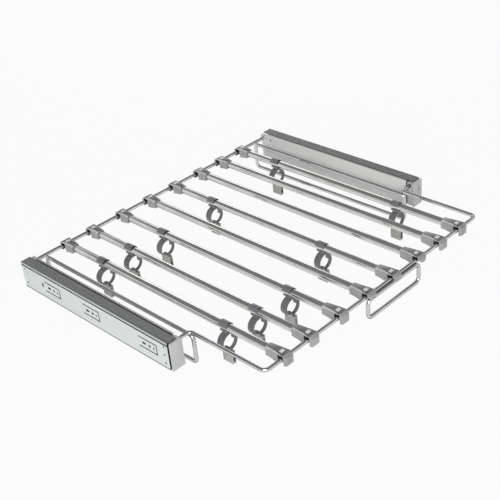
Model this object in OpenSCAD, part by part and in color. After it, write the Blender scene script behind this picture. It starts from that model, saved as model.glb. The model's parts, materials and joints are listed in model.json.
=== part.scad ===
// Pull-out trouser rack: a wire frame on two telescopic runners, with eight
// sliding tubes and ten spring clips that hang from them.
// X runs left to right, Y front to back, Z up.
// X zero is the middle of the bay, Y zero the front of the runner caps,
// Z zero the screw line halfway up the runners.

/* [Bay and runners] */
// clear width between the two cabinet side panels
bay_w = 572; // [520:1:760]
// length of the runner housings, front to back
runner_l = 350; // [320:10:500]
// height of the runner housings
runner_h = 46; // [40:1:60]
// thickness of one runner housing, panel to inner face
runner_w = 23; // [20:0.5:30]
// sheet thickness of the fixed member
sheet_t = 1.5; // [1:0.1:2.5]
// sheet thickness of the middle and drawer members
member_t = 1.2; // [1:0.1:2]
// depth of the fixed member's flanges
flange_w = 17.6; // [15:0.1:20]
// gap between the fixed flange and the inner panel
groove_w = 2.2; // [0.4:0.1:3]
// start of the fixed member behind the cap face
member_y = 5.5; // [4:0.1:10]
// gap from the fixed web to the middle web
web_gap = 1.9; // [1.5:0.1:3]
// offset of the drawer member's flange edge from the middle web
nest_gap = 2.4; // [1:0.1:4]
// radius of a runner ball
ball_r = 1.7; // [1:0.1:2]
// running clearance between balls and members
ball_gap = 0.2; // [0.1:0.05:0.4]
// balls in from the middle of the flanges they run on
ball_shift = 1; // [0:0.1:2]
// gap between the front cap's core and the middle member
member_gap = 1; // [0.5:0.1:3]
// middle member ahead of the housing's rear end
member_in = 6; // [4:0.5:20]
// length of a ball cage
cage_l = 150; // [60:5:160]
// start of the ball cages behind the cap face
cage_y = 100; // [80:5:120]
// sheet thickness of a ball cage
cage_t = 0.6; // [0.4:0.1:1]
// radial clearance of a ball in its cage pocket
pocket_gap = 0.15; // [0.1:0.05:0.3]
// balls in each row
ball_n = 5; // [3:1:8]

/* [Fixed member holes] */
// front edge of the first pressed tab
tab_y = 29; // [20:1:60]
// hole pitch of the cabinet system, which the tabs follow
system_pitch = 32; // [25:1:40]
// plain length kept behind the last tab, at least
back_room = 58; // [50:1:80]
// length of a pressed tab
tab_l = 39; // [30:1:50]
// height of a pressed tab
tab_h = 18; // [14:1:24]
// width of the slit round a tab
slit_w = 1.8; // [1:0.1:2]
// width of the seam under the outer lip of the fixed member
seam_w = 1.2; // [0.6:0.1:2]
// depth of that seam
seam_d = 0.5; // [0.2:0.1:0.8]
// height of the lip over the seam
lip_h = 4; // [2:0.1:6]
// radius of a panel screw hole
screw_r = 2.25; // [1.5:0.05:3]
// panel screw hole behind the tab's front edge
screw_in = 16; // [12:1:20]
// long slot behind the tab's front edge
slot_in = 28; // [24:1:34]
// radius of the long slot's ends
slot_r = 1.8; // [1:0.1:2.5]
// distance between the slot's end centres
slot_run = 4; // [2:0.5:8]
// pin hole behind the tab's front edge
pin_in = 7; // [5:1:10]
// radius of the small pin hole
pin_r = 1.5; // [1:0.1:2]
// row of three front holes behind the cap face
row_y = 13.5; // [10:0.5:20]
// spacing of the three front holes
row_h = 14; // [8:1:16]
// height slot near the back, ahead of the rear end
back_slot_in = 52; // [44:1:54]
// two rear pin holes, distance from the rear end
rear_pin_in = 8; // [5:1:20]
// half spacing of the two rear pin holes
rear_pin_h = 12.5; // [8:0.5:16]

/* [Inner panel and cap] */
// wall thickness of the inner panel
panel_t = 1.7; // [1.2:0.1:3]
// start of the inner panel behind the cap face
panel_y = 16; // [14:1:30]
// height of the two ribs that carry the drawer member
rib_z = 7; // [4:0.5:10]
// depth of the fine ridges on the runner tops
ridge_d = 0.3; // [0.1:0.1:0.5]
// spacing of the fine ridges on the runner tops
ridge_p = 2.4; // [1.5:0.1:4]
// thickness of the cap's front plate
cap_t = 1.6; // [1:0.1:3]
// depth of the whole cap
cap_d = 13; // [10:0.5:20]
// clearance of the cap's core inside the fixed member
cap_gap = 0.6; // [0.3:0.1:1]
// gap from the fixed web to the cap's core
cap_side_gap = 2.5; // [1:0.1:5]
// depth of the wire socket in the cap
cap_socket = 11; // [6:0.5:14]
// radius of the latch hole in the right cap
latch_r = 2; // [1:0.1:3]
// latch hole in from the cap's outer edge
latch_x = 8; // [5:0.5:12]
// latch hole above the screw line
latch_z = 6; // [0:0.5:12]

/* [Wire frame] */
// wire thickness
wire_d = 6; // [5:0.1:8]
// centre of the side wires in from the panel
wire_in = 45; // [30:0.1:56]
// height of the frame wire above the screw line
wire_z = 16; // [10:0.1:22]
// front wire ahead of the cap face
front_out = 134.5; // [80:0.5:180]
// rear wire ahead of the housing's rear end
rear_in = 6.5; // [5:0.5:20]
// centre radius of the frame's front corners
corner_r = 9; // [7:0.5:20]
// centre radius of the outward bends
turn_r = 7; // [5:0.5:12]
// outward legs behind the cap face
leg_y = 8; // [6:0.5:10]
// gap left between wires that are welded side by side
weld_gap = 0.1; // [0:0.05:0.5]
// clearance of a wire end in its socket
socket_gap = 0.15; // [0.1:0.05:0.4]
// height of the side loops, wire centre to wire centre
loop_h = 46; // [30:1:80]
// centre radius of the loops' corners
loop_r = 6.5; // [6:0.5:20]
// front leg of a side loop behind the cap face
loop_y = 3; // [2:0.5:10]
// rear leg of a side loop ahead of the housing's rear end
loop_back = 4; // [3:0.5:16]
// width of the pull handle, wire centre to wire centre
handle_w = 120; // [100:1:200]
// height of the pull handle, wire centre to wire centre
handle_h = 31; // [25:1:60]
// middle of the handle to the right of the bay's middle
handle_x = 24; // [-60:0.5:60]
// centre radius of the handle's corners
handle_r = 8; // [6:0.5:15]
// rise of the frame wire over the handle's top wire
handle_drop = 3.1; // [2:0.1:5]
// thickness of a rear wire clip across the bay
saddle_w = 5.5; // [4:0.5:8]
// depth of a rear wire clip, front to back
saddle_d = 13; // [9:0.5:16]
// height of a rear wire clip
saddle_h = 10; // [8:0.5:12]
// wall left over the wire in a rear clip
saddle_cap = 1.6; // [1:0.1:3]
// radius of the pin hole near the inner panel's rear end
panel_hole_r = 2; // [1:0.1:3]
// that hole ahead of the housing's rear end
panel_hole_in = 22; // [18:1:40]

/* [Tubes and brackets] */
// outside diameter of a tube
tube_d = 12; // [10:0.5:16]
// wall of a tube
tube_t = 1; // [0.6:0.1:2]
// tube end behind the wire centre
tube_in = 9.5; // [8:0.5:14]
// front bracket length behind the wire centre
bracket_l = 30; // [24:1:40]
// rear bracket length ahead of the wire centre
bracket_rear_l = 24; // [20:1:40]
// bracket nose past the wire centre
nose_l = 9; // [6:0.5:14]
// half width of a bracket over the wire
bracket_hw = 8.3; // [7:0.1:10]
// half width of a bracket at the socket mouth
mouth_hw = 6.9; // [6.6:0.1:8]
// bracket top over the wire centre
bracket_top = 7.6; // [7:0.1:9]
// bracket foot under the wire centre
bracket_foot = 8.8; // [7:0.1:10]
// clearance of the brackets on the wires and of sleeves on the tubes
slide_gap = 0.3; // [0.2:0.05:0.5]
// clearance of a tube in its bracket socket
tube_gap = 0.1; // [0.05:0.05:0.3]
// width of the sunk window on a bracket
window_w = 3.8; // [2:0.1:5]
// length of the sunk window on a bracket
window_l = 4.6; // [2:0.1:6]
// depth of the sunk window on a bracket
window_d = 1; // [0.5:0.1:2]
// depth of the bevel along a bracket's top edges at the socket mouth
bevel_w = 1.7; // [0.5:0.1:2]
// angle at which that bevel runs out toward the wire
bevel_lean = 5; // [0:0.5:8]
// depth of the recess round the wire in a bracket's sides
recess_d = 3.6; // [1:0.1:4]
// length of that recess behind the wire
recess_l = 3; // [1:0.1:4]
// top of that recess over the wire centre
recess_top = 5.2; // [3.5:0.1:5.5]
// places of the tubes as shares of the side wire's place
tube_place_shares = [-0.838, -0.623, -0.362, -0.110, 0.134, 0.384, 0.606, 0.820];

/* [Clips] */
// outside radius of a clip sleeve
sleeve_r = 7.6; // [7:0.1:9]
// length of a clip sleeve
sleeve_l = 16; // [12:0.5:24]
// ring centre under the tube centre
ring_drop = 25.5; // [20:0.5:36]
// outside radius of the ring
ring_r = 14.2; // [12:0.1:18]
// thickness of the ring band
band_t = 1.3; // [1:0.1:2]
// width of the ring band along the tube
band_w = 12; // [8:0.5:16]
// half width of the neck between sleeve and ring
neck_hw = 2.4; // [2:0.1:4]
// gap between the two crossing tongues
cross_gap = 0.6; // [0.4:0.1:1]
// angle from the neck where the full band ends
full_deg = 105; // [90:1:130]
// angle past the bottom where a tongue meets its plate
cross_deg = 9; // [7:0.5:12]
// angle from the neck where the moving band starts
hinge_deg = 13.5; // [12:0.5:20]
// length of a jaw plate along the tube
plate_l = 20; // [16:0.5:30]
// height of a jaw plate
plate_h = 21.5; // [10:0.5:26]
// thickness of a jaw plate
plate_t = 1.3; // [1:0.1:2]
// middle of a jaw plate to the clip's middle plane
plate_x = 2.3; // [2:0.1:4]
// gap from the ring's bottom to the plates
plate_gap = 0.8; // [0.5:0.1:2]
// radius of a rubber grip strip
grip_r = 1.35; // [1:0.05:2]
// grip strip in from the plate's edge
grip_in = 2.4; // [2:0.1:4]
// width of the small foot under the sleeve
foot_hw = 4.2; // [4:0.1:7]
// edge of the sleeve's open side over the tube centre
mouth_z = 2; // [0:0.1:3]
// thickness of the small foot under the sleeve
foot_t = 1.4; // [1:0.1:2]
// Y of the front clips on tubes 1, 2, 3, 5 and 8, ahead of the cap face when negative
front_clip_y1 = -22.5; // [-60:0.1:60]
front_clip_y2 = -31.3; // [-60:0.1:60]
front_clip_y3 = -36.7; // [-60:0.1:60]
front_clip_y5 = 2.9; // [-60:0.1:60]
front_clip_y8 = -13.7; // [-60:0.1:60]
// rear clips on tubes 1, 2, 3, 5 and 8, ahead of the rear wire
rear_clip_in1 = 94.2; // [50:0.1:140]
rear_clip_in2 = 99; // [50:0.1:140]
rear_clip_in3 = 106.7; // [50:0.1:140]
rear_clip_in5 = 98.3; // [50:0.1:140]
rear_clip_in8 = 90.3; // [50:0.1:140]

/* [Hidden] */
$fn = 64;
over = 1;
bay_half = bay_w / 2;
half_h = runner_h / 2;
wire_r = wire_d / 2;
side_x = bay_half - wire_in;
front_y = -front_out;
rear_y = runner_l - rear_in;
mid_h = half_h - sheet_t - 2 * (ball_r + ball_gap);
in_h = mid_h - member_t - 2 * (ball_r + ball_gap);
mid_u = sheet_t + web_gap;
mid_w = flange_w - mid_u - cap_gap;
draw_u = mid_u + member_t + nest_gap;
draw_web = flange_w;
panel_u = flange_w + groove_w;
ball_u = (mid_u + flange_w) / 2 + ball_shift;
outer_ball_z = half_h - sheet_t - ball_gap - ball_r;
inner_ball_z = mid_h - member_t - ball_gap - ball_r;
ball_step = cage_l / (ball_n + 1);
last_tab = floor((runner_l - back_room - tab_l - tab_y) / system_pitch);
tab_pitches = [0, ceil(last_tab / 2), last_tab];
back_slot_y = runner_l - back_slot_in;
loop_z = wire_z - wire_d - weld_gap;
handle_z = wire_z - handle_drop;
handle_y = front_y - sqrt(pow(wire_d + weld_gap, 2) - pow(handle_drop, 2));
slide_r = wire_r + slide_gap;
ring_top = ring_drop - ring_r;
plate_top = ring_drop + ring_r + plate_gap;
neck_deg = asin(neck_hw / ring_r);
handle_tubes = [4, 5, 6];
bevel_deg = 45;

// a block given by its two corners
module span(a, b) {
  translate(a)
    cube(b - a);
}

// puts a runner drawn with x from the panel inward on the left side
module left_side() {
  translate([-bay_half, 0, 0])
    children();
}

// the same runner mirrored to the right side
module right_side() {
  mirror([1, 0, 0])
    left_side()
      children();
}

// round bar along x
module rod_x(x0, x1, r) {
  translate([x0, 0, 0])
    rotate([0, 90, 0])
      cylinder(h = x1 - x0, r = r);
}

// round bar along y
module rod_y(y0, y1, r) {
  translate([0, y1, 0])
    rotate([90, 0, 0])
      cylinder(h = y1 - y0, r = r);
}

// a side outline in y and z drawn out along x by half width w each way
module side_cut(w) {
  translate([-w, 0, 0])
    rotate([90, 0, 90])
      linear_extrude(height = 2 * w)
        children();
}

// quarter of a round bend in the xy plane, centred on its bend centre
module bend(r, turn) {
  rotate([0, 0, turn])
    rotate_extrude(angle = 90)
      translate([r, 0])
        circle(r = wire_r);
}

// closed wire rectangle with round corners in the xy plane, centred
module wire_ring(w, h, r) {
  x = w / 2 - r;
  y = h / 2 - r;
  for (s = [-1, 1]) {
    translate([0, s * h / 2, 0])
      rod_x(-x, x, wire_r);
    translate([s * w / 2, 0, 0])
      rod_y(-y, y, wire_r);
  }
  translate([x, y, 0])
    bend(r, 0);
  translate([-x, y, 0])
    bend(r, 90);
  translate([-x, -y, 0])
    bend(r, 180);
  translate([x, -y, 0])
    bend(r, 270);
}

// one pressed tab: a slit open to the rear round three holes
module tab_cut(y) {
  span([-over, y, -tab_h / 2], [sheet_t + over, y + slit_w, tab_h / 2]);
  for (s = [-1, 1])
    translate([0, 0, s * (tab_h - slit_w) / 2])
      span([-over, y, -slit_w / 2], [sheet_t + over, y + tab_l, slit_w / 2]);
  translate([0, y + screw_in, 0])
    rod_x(-over, sheet_t + over, screw_r);
  translate([0, y + pin_in, 0])
    rod_x(-over, sheet_t + over, pin_r);
  translate([0, y + slot_in, 0]) {
    for (s = [-1, 1])
      translate([0, s * slot_run / 2, 0])
        rod_x(-over, sheet_t + over, slot_r);
    span([-over, -slot_run / 2, -slot_r], [sheet_t + over, slot_run / 2, slot_r]);
  }
}

// fixed runner member with its flanges and panel holes
module cabinet_member() {
  color("gainsboro")
    difference() {
      span([0, member_y, -half_h], [flange_w, runner_l, half_h]);
      span([sheet_t, 0, sheet_t - half_h], [bay_half, runner_l + over, half_h - sheet_t]);
      span([-over, 0, half_h - lip_h - seam_w], [seam_d, runner_l + over, half_h - lip_h]);
      for (x = [sheet_t + ridge_p : ridge_p : flange_w - ridge_p])
        span([x, 0, half_h - ridge_d], [x + ridge_p / 2, runner_l + over, half_h + over]);
      for (n = tab_pitches)
        tab_cut(tab_y + n * system_pitch);
      for (s = [-1, 0, 1])
        translate([0, row_y, s * row_h])
          rod_x(-over, sheet_t + over, pin_r);
      for (s = [-1, 1]) {
        translate([0, back_slot_y, s * slot_run / 2])
          rod_x(-over, sheet_t + over, slot_r);
        translate([0, runner_l - rear_pin_in, s * rear_pin_h])
          rod_x(-over, sheet_t + over, pin_r);
      }
      span([-over, back_slot_y - slot_r, -slot_run / 2],
        [sheet_t + over, back_slot_y + slot_r, slot_run / 2]);
    }
}

// channel open inward: web at u, flanges out to u plus w, half height h
module channel(u, w, h, y0, y1) {
  difference() {
    span([u, y0, -h], [u + w, y1, h]);
    span([u + member_t, y0 - over, member_t - h], [u + w + over, y1 + over, h - member_t]);
  }
}

// middle member that carries both rows of balls
module middle_member() {
  color("silver")
    channel(mid_u, mid_w, mid_h, cap_d + member_gap, runner_l - member_in);
}

// drawer member, a channel open outward that ends ahead of the rear wire's clip
module drawer_member() {
  back = rear_y - saddle_d / 2 - slide_gap;
  color("silver")
    difference() {
      span([draw_u, cap_d, -in_h], [draw_web + member_t, back, in_h]);
      span([draw_u - over, 0, member_t - in_h], [draw_web, runner_l + over, in_h - member_t]);
    }
}

// ball cage: a thin channel with pockets, and the balls in them
module ball_cage(u, z) {
  color("dimgray")
    difference() {
      span([u, cage_y, -z - cage_t / 2], [ball_u + 2 * ball_r, cage_y + cage_l, z + cage_t / 2]);
      span([u + cage_t, 0, cage_t / 2 - z], [bay_half, runner_l, z - cage_t / 2]);
      for (s = [-1, 1], n = [1 : ball_n])
        translate([ball_u, cage_y + n * ball_step, s * z])
          cylinder(h = 2 * ball_r, r = ball_r + pocket_gap, center = true);
    }
  color("lightgray")
    for (s = [-1, 1], n = [1 : ball_n])
      translate([ball_u, cage_y + n * ball_step, s * z])
        sphere(r = ball_r);
}

// cages start midway in their web gaps
module outer_cage() {
  ball_cage(sheet_t + (web_gap - cage_t) / 2, outer_ball_z);
}

module inner_cage() {
  ball_cage(mid_u + member_t + (nest_gap - cage_t) / 2, inner_ball_z);
}

// inner panel that closes the runner toward the bay
module inner_panel() {
  color("whitesmoke")
    difference() {
      union() {
        span([runner_w - panel_t, panel_y, -half_h], [runner_w, runner_l, half_h]);
        for (s = [-1, 1]) {
          translate([0, 0, s * (half_h - panel_t / 2)])
            span([panel_u, panel_y, -panel_t / 2], [runner_w, runner_l, panel_t / 2]);
          translate([0, 0, s * rib_z])
            span([draw_web + member_t, panel_y, -panel_t / 2],
              [runner_w, runner_l - saddle_d, panel_t / 2]);
        }
      }
      span([0, rear_y - saddle_d / 2 - slide_gap, wire_z - saddle_h / 2 - slide_gap],
        [bay_half, runner_l + over, half_h + over]);
      translate([0, runner_l - panel_hole_in, wire_z - wire_r])
        rod_x(0, bay_half, panel_hole_r);
      for (x = [panel_u + ridge_p / 4 : ridge_p / 2 : runner_w - ridge_p / 4])
        span([x, 0, half_h - ridge_d], [x + ridge_p / 4, runner_l + over, half_h + over]);
    }
}

// cap with a core that holds the frame's outward leg
module front_cap(latch) {
  color("darkgray")
    difference() {
      union() {
        span([0, 0, -half_h], [runner_w, cap_t, half_h]);
        span([sheet_t + cap_side_gap, 0, sheet_t + cap_gap - half_h],
          [runner_w, cap_d, half_h - sheet_t - cap_gap]);
      }
      translate([0, leg_y, wire_z])
        rod_x(runner_w - cap_socket, runner_w + over, wire_r + socket_gap);
      if (latch)
        translate([latch_x, 0, latch_z])
          rod_y(-over, cap_d - cap_t, latch_r);
    }
}

// straight front wire between the two corner bends
module front_wire() {
  x = side_x - corner_r;
  color("lightsteelblue")
    translate([0, front_y, wire_z])
      rod_x(-x, x, wire_r);
}

// right side of the frame: corner bend, side wire, outward bend and leg
module side_wire() {
  leg_end = bay_half - runner_w + cap_socket - socket_gap;
  color("lightsteelblue")
    translate([0, 0, wire_z]) {
      translate([side_x - corner_r, front_y + corner_r, 0])
        bend(corner_r, 270);
      translate([side_x, 0, 0])
        rod_y(front_y + corner_r, leg_y - turn_r, wire_r);
      translate([side_x + turn_r, leg_y - turn_r, 0])
        bend(turn_r, 90);
      translate([0, leg_y, 0])
        rod_x(side_x + turn_r, leg_end, wire_r);
    }
}

// straight rear wire that ends in the two rear clips
module rear_wire() {
  color("lightsteelblue")
    translate([0, rear_y, wire_z])
      rod_x(panel_u + weld_gap - bay_half, bay_half - panel_u - weld_gap, wire_r);
}

// hanging side loop under the end of the frame's side wire
module side_loop(side) {
  back = runner_l - loop_back;
  color("lightsteelblue")
    translate([side * side_x, (loop_y + back) / 2, loop_z - loop_h / 2])
      rotate([90, 0, 90])
        wire_ring(back - loop_y, loop_h, loop_r);
}

// pull handle in front of the front wire
module pull_handle() {
  color("lightsteelblue")
    translate([handle_x, handle_y, handle_z - handle_h / 2])
      rotate([90, 0, 0])
        wire_ring(handle_w, handle_h, handle_r);
}

// a rear clip that holds the rear wire's end in the panel's notch
module saddle() {
  color("gainsboro")
    difference() {
      translate([bay_half - panel_u - saddle_w, rear_y, wire_z])
        span([0, -saddle_d / 2, -saddle_h / 2], [saddle_w, saddle_d / 2, wire_r + saddle_cap]);
      translate([0, rear_y, wire_z])
        rod_x(0, bay_half, wire_r + socket_gap);
    }
}

module rear_wire_clips() {
  saddle();
  mirror([1, 0, 0])
    saddle();
}

// hanging tube n counts from the left
module tube(n) {
  color("silver")
    translate([side_x * tube_place_shares[n - 1], 0, wire_z])
      difference() {
        rod_y(front_y + tube_in, rear_y - tube_in, tube_d / 2);
        rod_y(front_y, rear_y, tube_d / 2 - tube_t);
      }
}

// end bracket with the wire at its origin and the tube toward plus y
module bracket(l) {
  waist = tube_in + tube_t;
  color("gray")
    difference() {
      intersection() {
        translate([0, 0, -bracket_foot])
          linear_extrude(height = bracket_foot + bracket_top)
            polygon([[-mouth_hw, l], [-mouth_hw, l - tube_in], [-bracket_hw, tube_in / 2],
              [-bracket_hw, -wire_r], [-mouth_hw, -nose_l + tube_t], [-wire_r, -nose_l],
              [wire_r, -nose_l], [mouth_hw, -nose_l + tube_t], [bracket_hw, -wire_r],
              [bracket_hw, tube_in / 2], [mouth_hw, l - tube_in], [mouth_hw, l]]);
        side_cut(bracket_hw)
          polygon([[l, mouth_hw], [tube_in, bracket_top], [-wire_r, bracket_top - tube_t],
            [tube_t - nose_l, wire_r], [-nose_l, 0], [-nose_l, -wire_d],
            [tube_t - nose_l, -bracket_foot], [waist, -bracket_foot], [l, -mouth_hw]]);
      }
      rod_y(tube_in - tube_gap, l + over, tube_d / 2 + tube_gap);
      rod_x(-bracket_hw - over, bracket_hw + over, slide_r);
      span([-bracket_hw - over, -slide_r, -bracket_foot - over],
        [bracket_hw + over, slide_r, 0]);
      span([-window_w / 2, slide_r, bracket_top - window_d],
        [window_w / 2, slide_r + window_l, bracket_top + over]);
      for (s = [-1, 1]) {
        translate([s * bracket_hw, 0, 0])
          span([-recess_d, -slide_r, -bracket_foot - over],
            [recess_d, slide_r + recess_l, recess_top]);
        translate([s * mouth_hw, l, mouth_hw])
          rotate([0, s * bevel_deg, 0])
            rotate([-bevel_lean, 0, 0])
              span([-bracket_hw, -2 * l, -bevel_w], [bracket_hw, l, bracket_hw]);
      }
    }
}

// front and rear bracket of tube n, the front ones by the handle cut back for it
module brackets(n) {
  translate([side_x * tube_place_shares[n - 1], 0, wire_z]) {
    difference() {
      translate([0, front_y, 0])
        bracket(bracket_l);
      if (len(search(n, handle_tubes)) > 0)
        translate([0, handle_y, handle_z - wire_z]) {
          rod_x(-handle_w, handle_w, slide_r);
          span([-handle_w, -nose_l, -handle_h], [handle_w, slide_r, 0]);
        }
    }
    translate([0, rear_y, 0])
      mirror([0, 1, 0])
        bracket(bracket_rear_l);
  }
}

// piece of the ring band between two angles from the neck toward plus x
module band(a0, a1, y0, y1, grow) {
  translate([0, y1, -ring_drop])
    rotate([90, 0, 0])
      rotate([0, 0, 90 - a1])
        rotate_extrude(angle = a1 - a0)
          translate([ring_r - band_t - grow, 0])
            square([band_t + 2 * grow, y1 - y0]);
}

// band, crossing tongue and jaw plate of the half that starts on plus x,
// whose tongue keeps the front (side -1) or the rear (side 1) of the band
module clip_half(start, side) {
  last = 180 + cross_deg;
  tongue_y = [for (y = [cross_gap / 2, band_w / 2]) side * y];
  tongue_z = -ring_drop - (ring_r - band_t / 2) * cos(cross_deg);
  difference() {
    band(start, last, -band_w / 2, band_w / 2, 0);
    band(full_deg, last + cross_deg, min(-side * band_w, side * cross_gap / 2),
      max(-side * band_w, side * cross_gap / 2), over);
  }
  span([-plate_x - plate_t / 2, min(tongue_y), -plate_top - over],
    [-plate_x + plate_t / 2, max(tongue_y), tongue_z]);
  span([-plate_x - plate_t / 2, -plate_l / 2, -plate_top - plate_h],
    [-plate_x + plate_t / 2, plate_l / 2, -plate_top]);
}

// fixed half of a clip: sleeve, foot, neck, band, plate and grip strips
module clip_at(n, y) {
  translate([side_x * tube_place_shares[n - 1], y, wire_z]) {
    color("dimgray") {
      difference() {
        union() {
          rod_y(-sleeve_l / 2, sleeve_l / 2, sleeve_r);
          span([-foot_hw, -sleeve_l / 2, -sleeve_r - foot_t / 2],
            [foot_hw, sleeve_l / 2, -sleeve_r + foot_t]);
          span([-neck_hw, -band_w / 2, band_t / 2 - ring_top - band_t],
            [neck_hw, band_w / 2, -sleeve_r]);
        }
        rod_y(-sleeve_l, sleeve_l, tube_d / 2 + slide_gap);
        span([-sleeve_r - over, -sleeve_l, foot_t - sleeve_r], [-neck_hw, sleeve_l, mouth_z]);
      }
      mirror([1, 0, 0])
        clip_half(-neck_deg, 1);
    }
    color("black")
      for (z = [grip_in, plate_h - grip_in])
        translate([0, 0, -plate_top - z])
          intersection() {
            rod_y(-plate_l / 2, plate_l / 2, plate_x - plate_t / 2);
            span([-grip_r, -plate_l, -plate_x], [plate_x - plate_t / 2, plate_l, plate_x]);
          }
  }
}

// moving half of a clip
module jaw_at(n, y) {
  color("dimgray")
    translate([side_x * tube_place_shares[n - 1], y, wire_z])
      clip_half(hinge_deg, -1);
}

left_side() cabinet_member();  // cabinet_member_left
right_side() cabinet_member();  // cabinet_member_right
left_side() outer_cage();  // outer_ball_cage_left
right_side() outer_cage();  // outer_ball_cage_right
left_side() middle_member();  // middle_member_left
right_side() middle_member();  // middle_member_right
left_side() inner_cage();  // inner_ball_cage_left
right_side() inner_cage();  // inner_ball_cage_right
left_side() drawer_member();  // drawer_member_left
right_side() drawer_member();  // drawer_member_right
left_side() inner_panel();  // inner_panel_left
right_side() inner_panel();  // inner_panel_right
left_side() front_cap(false);  // front_cap_left
right_side() front_cap(true);  // front_cap_right
front_wire();
mirror([1, 0, 0]) side_wire();  // side_wire_left
side_wire();  // side_wire_right
rear_wire();
side_loop(-1);  // side_loop_left
side_loop(1);  // side_loop_right
pull_handle();
rear_wire_clips();
tube(1);  // tube_1
tube(2);  // tube_2
tube(3);  // tube_3
tube(4);  // tube_4
tube(5);  // tube_5
tube(6);  // tube_6
tube(7);  // tube_7
tube(8);  // tube_8
brackets(1);  // brackets_1
brackets(2);  // brackets_2
brackets(3);  // brackets_3
brackets(4);  // brackets_4
brackets(5);  // brackets_5
brackets(6);  // brackets_6
brackets(7);  // brackets_7
brackets(8);  // brackets_8
clip_at(1, front_clip_y1);  // clip_front_1
clip_at(2, front_clip_y2);  // clip_front_2
clip_at(3, front_clip_y3);  // clip_front_3
clip_at(5, front_clip_y5);  // clip_front_5
clip_at(8, front_clip_y8);  // clip_front_8
clip_at(1, rear_y - rear_clip_in1);  // clip_rear_1
clip_at(2, rear_y - rear_clip_in2);  // clip_rear_2
clip_at(3, rear_y - rear_clip_in3);  // clip_rear_3
clip_at(5, rear_y - rear_clip_in5);  // clip_rear_5
clip_at(8, rear_y - rear_clip_in8);  // clip_rear_8
jaw_at(1, front_clip_y1);  // jaw_front_1
jaw_at(2, front_clip_y2);  // jaw_front_2
jaw_at(3, front_clip_y3);  // jaw_front_3
jaw_at(5, front_clip_y5);  // jaw_front_5
jaw_at(8, front_clip_y8);  // jaw_front_8
jaw_at(1, rear_y - rear_clip_in1);  // jaw_rear_1
jaw_at(2, rear_y - rear_clip_in2);  // jaw_rear_2
jaw_at(3, rear_y - rear_clip_in3);  // jaw_rear_3
jaw_at(5, rear_y - rear_clip_in5);  // jaw_rear_5
jaw_at(8, rear_y - rear_clip_in8);  // jaw_rear_8
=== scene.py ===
# Looks of the pull-out trouser rack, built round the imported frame.
# Metres, +X right across the bay, +Y from front to back, +Z up.
import bmesh
import bpy
import json
import math
from mathutils import Matrix, Vector


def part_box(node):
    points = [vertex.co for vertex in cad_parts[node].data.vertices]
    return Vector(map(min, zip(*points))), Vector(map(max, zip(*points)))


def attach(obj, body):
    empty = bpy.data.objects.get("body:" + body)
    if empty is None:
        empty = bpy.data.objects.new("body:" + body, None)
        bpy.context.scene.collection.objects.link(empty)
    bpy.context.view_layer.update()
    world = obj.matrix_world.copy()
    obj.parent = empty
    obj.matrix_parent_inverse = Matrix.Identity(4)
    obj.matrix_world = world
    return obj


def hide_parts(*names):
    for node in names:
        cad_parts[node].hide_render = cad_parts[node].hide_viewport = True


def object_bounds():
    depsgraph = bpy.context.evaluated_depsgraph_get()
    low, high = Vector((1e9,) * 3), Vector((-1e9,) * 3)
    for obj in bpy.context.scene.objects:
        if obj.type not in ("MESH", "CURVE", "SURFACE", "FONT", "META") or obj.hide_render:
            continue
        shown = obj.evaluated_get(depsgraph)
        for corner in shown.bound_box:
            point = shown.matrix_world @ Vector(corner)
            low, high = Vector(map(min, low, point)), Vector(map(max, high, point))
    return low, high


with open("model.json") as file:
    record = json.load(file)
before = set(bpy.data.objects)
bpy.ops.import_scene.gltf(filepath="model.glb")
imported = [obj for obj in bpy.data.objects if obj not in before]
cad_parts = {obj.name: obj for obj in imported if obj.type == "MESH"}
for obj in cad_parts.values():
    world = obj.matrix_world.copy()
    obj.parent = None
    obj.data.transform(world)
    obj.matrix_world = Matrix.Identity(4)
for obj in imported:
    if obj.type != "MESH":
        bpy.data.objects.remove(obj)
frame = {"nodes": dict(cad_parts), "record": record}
cad_low, cad_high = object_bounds()
NODES = frame["nodes"]
BODIES = frame["record"]["behaviour"]["bodies"]
BODY_OF = {node: body for body, members in BODIES.items() for node in members}
SLOT_OF = {part["node"]: part["material_slot"] for part in frame["record"]["subparts"]}
CLIPS = sorted(node[5:] for node in NODES if node.startswith("clip_"))
WIRES = sorted(node for node in NODES if SLOT_OF[node] == "chrome_wire")


# Shader helpers


def new_material(name):
    """An empty node material with its principled shader."""
    material = bpy.data.materials.new(name)
    material.use_nodes = True
    tree = material.node_tree
    tree.nodes.clear()
    out = tree.nodes.new("ShaderNodeOutputMaterial")
    shader = tree.nodes.new("ShaderNodeBsdfPrincipled")
    tree.links.new(shader.outputs["BSDF"], out.inputs["Surface"])
    return material, tree, shader


def mapped(tree, scale):
    """Object coordinates stretched by a scale for each axis."""
    coords = tree.nodes.new("ShaderNodeTexCoord")
    mapping = tree.nodes.new("ShaderNodeMapping")
    mapping.inputs["Scale"].default_value = scale
    tree.links.new(coords.outputs["Object"], mapping.inputs["Vector"])
    return mapping.outputs["Vector"]


def noise(tree, scale, size, detail=3.0):
    """Noise value with the given stretch and size."""
    node = tree.nodes.new("ShaderNodeTexNoise")
    node.inputs["Scale"].default_value = size
    node.inputs["Detail"].default_value = detail
    tree.links.new(mapped(tree, scale), node.inputs["Vector"])
    return node.outputs["Fac"]


def lines(tree, axis, size, wobble=0.6):
    """Fine parallel lines across an axis, size lines to a metre."""
    node = tree.nodes.new("ShaderNodeTexWave")
    node.wave_type = "BANDS"
    node.bands_direction = axis
    node.inputs["Scale"].default_value = size
    node.inputs["Distortion"].default_value = wobble
    node.inputs["Detail"].default_value = 1.0
    tree.links.new(mapped(tree, (1, 1, 1)), node.inputs["Vector"])
    return node.outputs["Fac"]


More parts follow.
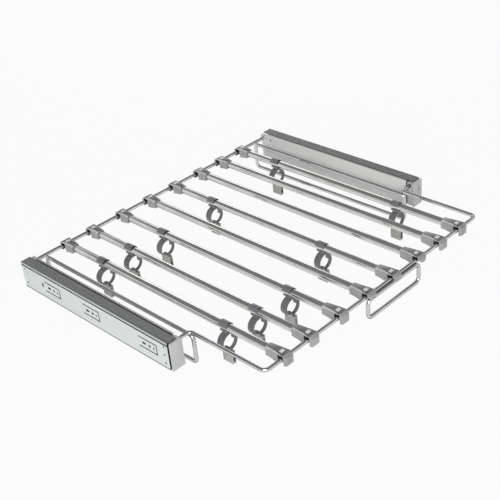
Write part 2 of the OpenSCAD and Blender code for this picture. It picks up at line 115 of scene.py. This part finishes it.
def spread(tree, value, low, high, start=0.3, end=0.7):
    """Maps a texture value onto a range."""
    node = tree.nodes.new("ShaderNodeMapRange")
    node.inputs["From Min"].default_value = start
    node.inputs["From Max"].default_value = end
    node.inputs["To Min"].default_value = low
    node.inputs["To Max"].default_value = high
    tree.links.new(value, node.inputs["Value"])
    return node.outputs["Result"]


def blended(tree, factor, dark, light):
    """A colour between two; each may be a colour or the output of another node."""
    node = tree.nodes.new("ShaderNodeMix")
    node.data_type = "RGBA"
    for name, value in (("A", dark), ("B", light)):
        if isinstance(value, tuple):
            node.inputs[name].default_value = (*value, 1)
        else:
            tree.links.new(value, node.inputs[name])
    tree.links.new(factor, node.inputs["Factor"])
    return node.outputs["Result"]


def bumped(tree, shader, value, strength, depth):
    """Bump from a texture value."""
    node = tree.nodes.new("ShaderNodeBump")
    node.inputs["Strength"].default_value = strength
    node.inputs["Distance"].default_value = depth
    tree.links.new(value, node.inputs["Height"])
    tree.links.new(node.outputs["Normal"], shader.inputs["Normal"])


def worn_and_highlit(tree, colour, light, amount):
    """Rubs the raised edges of a surface lighter: edge wear and a painted highlight."""
    shape = tree.nodes.new("ShaderNodeNewGeometry")
    edge = spread(tree, shape.outputs["Pointiness"], 0, amount, 0.52, 0.62)
    return blended(tree, edge, colour, light)


def finish_of(name, dark, light, rough, metal, grain, size, bump=0.2, depth=0.00005,
              wear_and_highlight=0.0, edge_tint=None):
    """A material with colour, roughness and bump that vary with a stretched grain."""
    material, tree, shader = new_material(name)
    fine = noise(tree, grain, size)
    broad = noise(tree, (1, 1, 1), 35, 2)
    colour = blended(tree, spread(tree, broad, 0, 1), dark, light)
    # Lighter raised edges: partly edge wear, partly painted highlight.
    if wear_and_highlight:
        colour = worn_and_highlit(tree, colour, tuple(min(1.0, part * 1.5) for part in light), wear_and_highlight)
    tree.links.new(colour, shader.inputs["Base Color"])
    tree.links.new(spread(tree, fine, rough[0], rough[1]), shader.inputs["Roughness"])
    shader.inputs["Metallic"].default_value = metal
    if edge_tint:
        shader.inputs["Specular Tint"].default_value = (*edge_tint, 1)
    bumped(tree, shader, fine, bump, depth)
    return material


def painted_shadow_line(tree, colour, height, half, dark):
    """A painted shadow line, dark, all along a piece at one height above its middle."""
    coords = tree.nodes.new("ShaderNodeTexCoord")
    split = tree.nodes.new("ShaderNodeSeparateXYZ")
    tree.links.new(coords.outputs["Object"], split.inputs["Vector"])
    near = tree.nodes.new("ShaderNodeMath")
    near.operation = "COMPARE"
    near.inputs[1].default_value = height
    near.inputs[2].default_value = half
    tree.links.new(split.outputs["Z"], near.inputs[0])
    return blended(tree, near.outputs["Value"], colour, dark)


def ridged_with_painted_shade(name, side, top, rough, metal, axis, size, top_rough, bands=()):
    """Sheet whose upward faces carry fine dark ridges and are painted darker as shade, and whose sides
    stay plain.
    """
    material, tree, shader = new_material(name)
    shape = tree.nodes.new("ShaderNodeNewGeometry")
    split = tree.nodes.new("ShaderNodeSeparateXYZ")
    tree.links.new(shape.outputs["Normal"], split.inputs["Vector"])
    upward = spread(tree, split.outputs["Z"], 0, 1, 0.5, 0.8)
    grain = noise(tree, (1, 0.02, 1), 900)
    ribs = lines(tree, axis, size)
    plain = blended(tree, spread(tree, grain, 0, 1), tuple(part * 0.93 for part in side), side)
    # Painted shade: upward faces take the darker top colour, with the ridges on it.
    dark = blended(tree, spread(tree, ribs, 0, 1, 0.2, 0.8), tuple(part * 0.7 for part in top), top)
    shadow_line_colour = (0.03, 0.035, 0.04)
    # Painted shadow: dark lines at the seam and lower edge heights.
    for height, half in bands:
        plain = painted_shadow_line(tree, plain, height, half, shadow_line_colour)
    tree.links.new(blended(tree, upward, plain, dark), shader.inputs["Base Color"])
    smooth = tree.nodes.new("ShaderNodeMix")
    smooth.inputs["A"].default_value = rough
    smooth.inputs["B"].default_value = top_rough
    tree.links.new(upward, smooth.inputs["Factor"])
    tree.links.new(smooth.outputs["Result"], shader.inputs["Roughness"])
    shader.inputs["Metallic"].default_value = metal
    bumped(tree, shader, grain, 0.15, 0.00004)
    return material


EVEN = (1, 1, 1)
CHROME = finish_of("chrome_wire", (0.56, 0.56, 0.58), (0.66, 0.66, 0.68), (0.08, 0.16), 1, EVEN, 900,
                   0.08, 0.00003, 0, (0.04, 0.04, 0.045))
TUBE = finish_of("tube_metal", (0.64, 0.635, 0.62), (0.72, 0.715, 0.7), (0.12, 0.2), 1, (1, 0.03, 1),
                 1500, 0.08, 0.00003, 0, (0.45, 0.45, 0.45))
# Painted shadow lines in the seam and along the lower edge of the fixed members: height and half width
# of each dark line
SEAM_SHADOW_LINE = (0.0184, 0.0014)
LOWER_EDGE_SHADOW_LINE = (-0.023, 0.0018)
SHADOW_LINES = (SEAM_SHADOW_LINE, LOWER_EDGE_SHADOW_LINE)
# Zinc and lip: the dark top colour is painted shade on their upward faces.
ZINC = ridged_with_painted_shade("zinc", (0.74, 0.8, 0.77), (0.25, 0.25, 0.25), 0.42, 0.2, "Y", 130, 0.6, SHADOW_LINES)
LIP = ridged_with_painted_shade("zinc_lip", (0.6, 0.64, 0.66), (0.25, 0.25, 0.25), 0.4, 0.3, "Y", 220, 0.6, SHADOW_LINES)
CAGE = finish_of("cage", (0.08, 0.08, 0.08), (0.13, 0.13, 0.13), (0.3, 0.45), 0.3, EVEN, 700)
# Middle and drawer members: steel painted near black, a painted shade that keeps their holes dark.
STEEL_DARK_AS_SHADE = finish_of("steel_painted_dark_as_shade", (0.045, 0.045, 0.05), (0.08, 0.08, 0.085), (0.35, 0.5), 0.4, EVEN,
                    500)
# Pale panel: its upward faces are painted slightly darker as shade.
PANEL = ridged_with_painted_shade("pale_panel", (0.74, 0.74, 0.72), (0.66, 0.645, 0.61), 0.5, 0, "Y", 130, 0.6)
CAP = finish_of("cap_grey", (0.4, 0.4, 0.4), (0.47, 0.47, 0.47), (0.38, 0.5), 0, EVEN, 1200, 0.25,
                0.00005, 0.4)
SADDLE = finish_of("clip_pale", (0.6, 0.6, 0.58), (0.7, 0.7, 0.68), (0.4, 0.5), 0, EVEN, 1200)
BRACKET = finish_of("bracket_grey", (0.3, 0.3, 0.305), (0.4, 0.4, 0.405), (0.26, 0.4), 0.1, EVEN, 1500,
                    0.2, 0.00004, 0.4)
# Painted shade: the brackets' flat tops are coloured darker, as the light falls on them.
BRACKET_TOP_SHADE = finish_of("bracket_top", (0.16, 0.16, 0.165), (0.22, 0.22, 0.225), (0.3, 0.42), 0.1,
                        EVEN, 1500, 0.2, 0.00004)
# Painted highlight: a bright colour on the brackets' upward-sloping bevels.
BEVEL_HIGHLIGHT = finish_of("bracket_bevel_painted_highlight", (0.58, 0.58, 0.6), (0.7, 0.7, 0.72), (0.2, 0.3), 0.1, EVEN, 1500,
                  0.1, 0.00004)
CLIP = finish_of("clip_grey", (0.15, 0.15, 0.165), (0.2, 0.2, 0.215), (0.36, 0.48), 0, EVEN, 1500,
                 0.25, 0.00005, 0.4)
# Painted shade: near black for the clip sleeve's rims and mouth lip.
CLIP_RIM_SHADE = finish_of("clip_rim_painted_shade", (0.03, 0.03, 0.033), (0.06, 0.06, 0.063), (0.4, 0.5), 0, EVEN, 1500)
PLATE = finish_of("plate_grey", (0.3, 0.3, 0.275), (0.38, 0.38, 0.35), (0.36, 0.48), 0, EVEN, 1500,
                  0.2, 0.00005, 0.4)
# Black rubber for the clip strips; the same black is painted shade in bracket recesses, member holes
# and seam, and gaps behind caps and panels.
RUBBER_AND_SHADE = finish_of("black_rubber_and_painted_shade", (0.006, 0.006, 0.006), (0.014, 0.014, 0.014), (0.6, 0.8), 0, EVEN,
                   2200)
BALLS = finish_of("ball_steel", (0.6, 0.6, 0.6), (0.7, 0.7, 0.7), (0.06, 0.12), 1, EVEN, 900)
TONGUE = finish_of("catch_tongue", (0.8, 0.8, 0.83), (0.88, 0.88, 0.9), (0.3, 0.42), 0, EVEN, 1500)
BY_SLOT = {"chrome_wire": CHROME, "tube_metal": TUBE, "zinc": ZINC, "cage": CAGE, "pale_panel": PANEL,
           "cap_grey": CAP, "clip_pale": SADDLE, "bracket_grey": BRACKET, "clip_grey": CLIP}

for name, node in NODES.items():
    node.data.materials.clear()
    inner = name.startswith(("middle_member", "drawer_member"))
    # The inner members take the steel painted dark as shade.
    node.data.materials.append(STEEL_DARK_AS_SHADE if inner else BY_SLOT[SLOT_OF[name]])


# Pieces


def smooth_by_angle(mesh, degrees):
    """Smooth shading with creases where faces meet more sharply than an angle."""
    mesh.shade_smooth()
    mesh.set_sharp_from_angle(angle=math.radians(degrees))


def add_piece(name, mesh, node):
    """A new object that rides with a CAD node."""
    piece = bpy.data.objects.new(name, mesh)
    bpy.context.scene.collection.objects.link(piece)
    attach(piece, BODY_OF[node])
    return piece


def islands(form):
    """The separate solids of a form, each as its list of faces."""
    left = set(form.faces)
    found = []
    while left:
        queue = [left.pop()]
        group = list(queue)
        while queue:
            for edge in queue.pop().edges:
                for face in edge.link_faces:
                    if face in left:
                        left.discard(face)
                        queue.append(face)
                        group.append(face)
        found.append(group)
    return found


def middle(name):
    """Middle of a CAD node's box."""
    low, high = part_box(name)
    return (Vector(low) + Vector(high)) / 2


FRONT_WIRE = middle("front_wire")
REAR_WIRE = middle("rear_wire")


def softened(name, width, segments=2, angle=30, small=None, limit=0.0, extra=(), paint=None):
    """A copy of a CAD node with rounded edges, which stands for it.

    A solid of the node that is smaller than the limit across takes the material small.
    Extra materials follow the node's own, and paint gives each face its place among them."""
    mesh = NODES[name].data.copy()
    form = bmesh.new()
    form.from_mesh(mesh)
    bmesh.ops.remove_doubles(form, verts=form.verts, dist=0.000002)
    bmesh.ops.dissolve_limit(form, angle_limit=math.radians(0.5), verts=form.verts, edges=form.edges)
    for material in extra:
        mesh.materials.append(material)
    if paint:
        for face in form.faces:
            face.material_index = paint(face.calc_center_median(), face.normal)
    if small:
        mesh.materials.append(small)
        for group in islands(form):
            across = [vert.co.x for face in group for vert in face.verts]
            if max(across) - min(across) < limit:
                for face in group:
                    face.material_index = len(extra) + 1
    if width:
        sharp = [edge for edge in form.edges
                 if edge.is_manifold and edge.calc_face_angle(0) > math.radians(angle)]
        bmesh.ops.bevel(form, geom=sharp, offset=width, segments=segments, profile=0.5,
                        affect="EDGES", clamp_overlap=True)
    bmesh.ops.triangulate(form, faces=[face for face in form.faces if len(face.verts) > 4])
    form.to_mesh(mesh)
    form.free()
    smooth_by_angle(mesh, 38)
    piece = add_piece("look_" + name, mesh, name)
    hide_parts(name)
    return piece


# Places in a node's list of materials. The first is its own finish.
OWN, FIRST, SECOND, THIRD = range(4)


def outward(place, way):
    """How far a face is turned to the cabinet panel on its own side, from -1 to 1."""
    return way.x * math.copysign(1, place.x)


def bracket_paint(place, way):
    """Painted shade on the dark tops, a painted highlight on the bright bevels, and painted black
    shade in the recess round the wire.
    """
    halfway = 0.1
    recess_front, recess_rear = -0.0045, 0.0066
    recess_floor, recess_top = -0.0086, 0.0054
    top_height = 0.005
    if place.y < halfway:
        behind = place.y - FRONT_WIRE.y
    else:
        behind = REAR_WIRE.y - place.y
    above = place.z - FRONT_WIRE.z
    # Painted shade: black on the recess faces round the wire.
    if recess_front < behind < recess_rear and recess_floor < above < recess_top:
        return THIRD
    # Painted highlight on the bevels.
    if way.z > 0.5 and abs(way.x) > 0.3:
        return SECOND
    # Painted shade: flat upward faces high on the bracket.
    if way.z > 0.9 and above > top_height:
        return FIRST
    return OWN


def clip_paint(place, way):
    """Painted shade on the sleeve's rims and mouth lip, and pale jaw plates."""
    plate_top = -0.0405
    sleeve_foot = -0.0085
    above = place.z - FRONT_WIRE.z
    if above < plate_top:
        return SECOND
    # Painted shade on the sleeve's end faces and the underside of its mouth.
    if above > sleeve_foot and (abs(way.y) > 0.9 or way.z < -0.9 and above > 0):
        return FIRST
    return OWN


def member_paint(place, way):
    """Painted black shade on the hole walls, the seam and the inside, and a lip over the seam."""
    skin = 0.0002
    wall_half_height = 0.0205
    lip_foot = 0.0188
    under_skin = abs(place.x) < cad_high.x - skin
    # Painted shade: black inside the member, on hole walls and in the seam.
    if under_skin and (outward(place, way) < -0.5 or abs(place.z) < wall_half_height):
        return FIRST
    if outward(place, way) > 0.5 and place.z > lip_foot:
        return SECOND
    return OWN


def outward_shade(place, way):
    """Painted black shade on the faces turned to the cabinet panel, behind the front plate."""
    front_plate = 0.0018
    # Painted shade: black on outward faces in the gap behind the front plate.
    return FIRST if outward(place, way) > 0.5 and place.y > front_plate else OWN


def tongue(number, wire, sign):
    """The bright catch tongue over a bracket's top window, behind the wire."""
    wide, long, thick = 0.0078, 0.0058, 0.0018
    top_wide, top_long = 0.86, 0.8
    slope = 0.0003
    edge = 0.0003
    behind, above = 0.0054, 0.0072
    form = bmesh.new()
    bmesh.ops.create_cube(form, size=1)
    bmesh.ops.scale(form, vec=(wide, long, thick), verts=form.verts)
    for vert in form.verts:
        if vert.co.z > 0:
            vert.co.x *= top_wide
            vert.co.y *= top_long
            vert.co.z += slope * (1 if vert.co.y * sign > 0 else -1)
    bmesh.ops.bevel(form, geom=form.edges[:], offset=edge, segments=2, profile=0.5, affect="EDGES",
                    clamp_overlap=True)
    across = middle("tube_%d" % number).x
    bmesh.ops.translate(form, verts=form.verts, vec=(across, wire.y + sign * behind, wire.z + above))
    which = "front" if sign > 0 else "rear"
    mesh = bpy.data.meshes.new("tongue_%s_%d" % (which, number))
    form.to_mesh(mesh)
    form.free()
    mesh.materials.append(TONGUE)
    smooth_by_angle(mesh, 38)
    add_piece("tongue_%s_%d" % (which, number), mesh, "brackets_%d" % number)


TUBES = 8
CLIP_EDGE = 0.0003
BRACKET_EDGE = 0.0004
TUBE_EDGE = 0.00015
CAP_EDGE = 0.0006
MEMBER_EDGE = 0.0001
PANEL_EDGE = 0.0003
STRIP_LIMIT = 0.0035
BALL_LIMIT = 0.0036

for clip in CLIPS:
    softened("clip_" + clip, CLIP_EDGE, small=RUBBER_AND_SHADE, limit=STRIP_LIMIT, extra=(CLIP_RIM_SHADE, PLATE),
             paint=clip_paint)
    softened("jaw_" + clip, CLIP_EDGE, extra=(CLIP_RIM_SHADE, PLATE), paint=clip_paint)
for number in range(1, TUBES + 1):
    softened("brackets_%d" % number, BRACKET_EDGE, extra=(BRACKET_TOP_SHADE, BEVEL_HIGHLIGHT, RUBBER_AND_SHADE),
             paint=bracket_paint)
    softened("tube_%d" % number, TUBE_EDGE)
    tongue(number, FRONT_WIRE, 1)
    tongue(number, REAR_WIRE, -1)
for wire in WIRES:
    softened(wire, 0)
for side in ("left", "right"):
    softened("front_cap_" + side, CAP_EDGE, 3, extra=(RUBBER_AND_SHADE,), paint=outward_shade)
    softened("cabinet_member_" + side, MEMBER_EDGE, extra=(RUBBER_AND_SHADE, LIP), paint=member_paint)
    softened("inner_panel_" + side, PANEL_EDGE, extra=(RUBBER_AND_SHADE,), paint=outward_shade)
    softened("outer_ball_cage_" + side, 0, small=BALLS, limit=BALL_LIMIT)
    softened("inner_ball_cage_" + side, 0, small=BALLS, limit=BALL_LIMIT)


# Stage: floor, lights and camera


def seen_white(tree, shader, out, share):
    """Lifts a stage surface towards white for the camera, metal and glass.

    The rest of what they see is the lit surface itself, so the object's shadow stays on it."""
    path = tree.nodes.new("ShaderNodeLightPath")
    seen = path.outputs["Is Camera Ray"]
    for ray in ("Is Glossy Ray", "Is Transmission Ray"):
        either = tree.nodes.new("ShaderNodeMath")
        either.operation = "MAXIMUM"
        tree.links.new(seen, either.inputs[0])
        tree.links.new(path.outputs[ray], either.inputs[1])
        seen = either.outputs["Value"]
    part = tree.nodes.new("ShaderNodeMath")
    part.operation = "MULTIPLY"
    part.inputs[1].default_value = share
    tree.links.new(seen, part.inputs[0])
    glow = tree.nodes.new("ShaderNodeEmission")
    mix = tree.nodes.new("ShaderNodeMixShader")
    tree.links.new(part.outputs["Value"], mix.inputs["Fac"])
    tree.links.new(shader, mix.inputs[1])
    tree.links.new(glow.outputs["Emission"], mix.inputs[2])
    tree.links.new(mix.outputs["Shader"], out.inputs["Surface"])


def lay_floor():
    """A wide pale floor under the rack."""
    mesh = bpy.data.meshes.new("floor")
    size = 12
    drop = 0.3
    white_share = 0.92
    depth = cad_low.z - drop
    corners = [(-size, -size, depth), (size, -size, depth), (size, size, depth), (-size, size, depth)]
    mesh.from_pydata(corners, [], [(0, 1, 2, 3)])
    floor = bpy.data.objects.new("floor", mesh)
    bpy.context.scene.collection.objects.link(floor)
    material, tree, shader = new_material("floor_paper")
    shader.inputs["Base Color"].default_value = (0.9, 0.9, 0.89, 1)
    shader.inputs["Roughness"].default_value = 0.9
    out = [node for node in tree.nodes if node.type == "OUTPUT_MATERIAL"][0]
    seen_white(tree, shader.outputs["BSDF"], out, white_share)
    mesh.materials.append(material)


def light_world():
    """A white room under a softer ceiling, the same for every ray."""
    world = bpy.data.worlds.new("studio")
    bpy.context.scene.world = world
    world.use_nodes = True
    tree = world.node_tree
    tree.nodes.clear()
    out = tree.nodes.new("ShaderNodeOutputWorld")
    room = tree.nodes.new("ShaderNodeBackground")
    coords = tree.nodes.new("ShaderNodeTexCoord")
    split = tree.nodes.new("ShaderNodeSeparateXYZ")
    ramp = tree.nodes.new("ShaderNodeValToRGB")
    stops = ramp.color_ramp.elements
    stops[0].position = 0.26
    stops[0].color = (1, 1, 1, 1)
    stops[1].position = 0.48
    stops[1].color = (0.24, 0.24, 0.245, 1)
    tree.links.new(coords.outputs["Generated"], split.inputs["Vector"])
    tree.links.new(split.outputs["Z"], ramp.inputs["Fac"])
    tree.links.new(ramp.outputs["Color"], room.inputs["Color"])
    tree.links.new(room.outputs["Background"], out.inputs["Surface"])


def area_light(name, place, aim, size, power):
    """A soft square lamp that looks at a point."""
    lamp = bpy.data.lights.new(name, "AREA")
    lamp.size = size
    lamp.energy = power
    holder = bpy.data.objects.new(name, lamp)
    bpy.context.scene.collection.objects.link(holder)
    holder.location = place
    holder.rotation_euler = (Vector(aim) - Vector(place)).to_track_quat("-Z", "Y").to_euler()


def set_camera():
    """The camera that took the photograph: place, two aiming angles, roll and lens."""
    azimuth = 0.7439
    elevation = 0.5568
    roll = -0.1074
    lens = 70.65
    place = (-0.9117, -0.8598, 0.8167)
    forward = Vector((math.sin(azimuth) * math.cos(elevation),
                      math.cos(azimuth) * math.cos(elevation), -math.sin(elevation)))
    level = Vector((math.cos(azimuth), -math.sin(azimuth), 0))
    upward = level.cross(forward)
    right = math.cos(roll) * level + math.sin(roll) * upward
    up = math.cos(roll) * upward - math.sin(roll) * level
    camera = bpy.data.cameras.new("photo_camera")
    camera.sensor_width = 36
    camera.lens = lens
    camera.clip_end = 50
    holder = bpy.data.objects.new("photo_camera", camera)
    bpy.context.scene.collection.objects.link(holder)
    turn = Matrix((right, up, -forward)).transposed().to_4x4()
    holder.matrix_world = Matrix.Translation(place) @ turn
    bpy.context.scene.camera = holder


lay_floor()
light_world()
LAMP_AIM = (0, 0.1, 0)
LAMP_SIZE = 2.0
area_light("key", (-2.4, -2.2, 1.9), LAMP_AIM, LAMP_SIZE, 75)
area_light("fill", (2.6, 2.4, 0.8), LAMP_AIM, LAMP_SIZE, 20)
set_camera()
bpy.context.scene.view_settings.view_transform = "Standard"
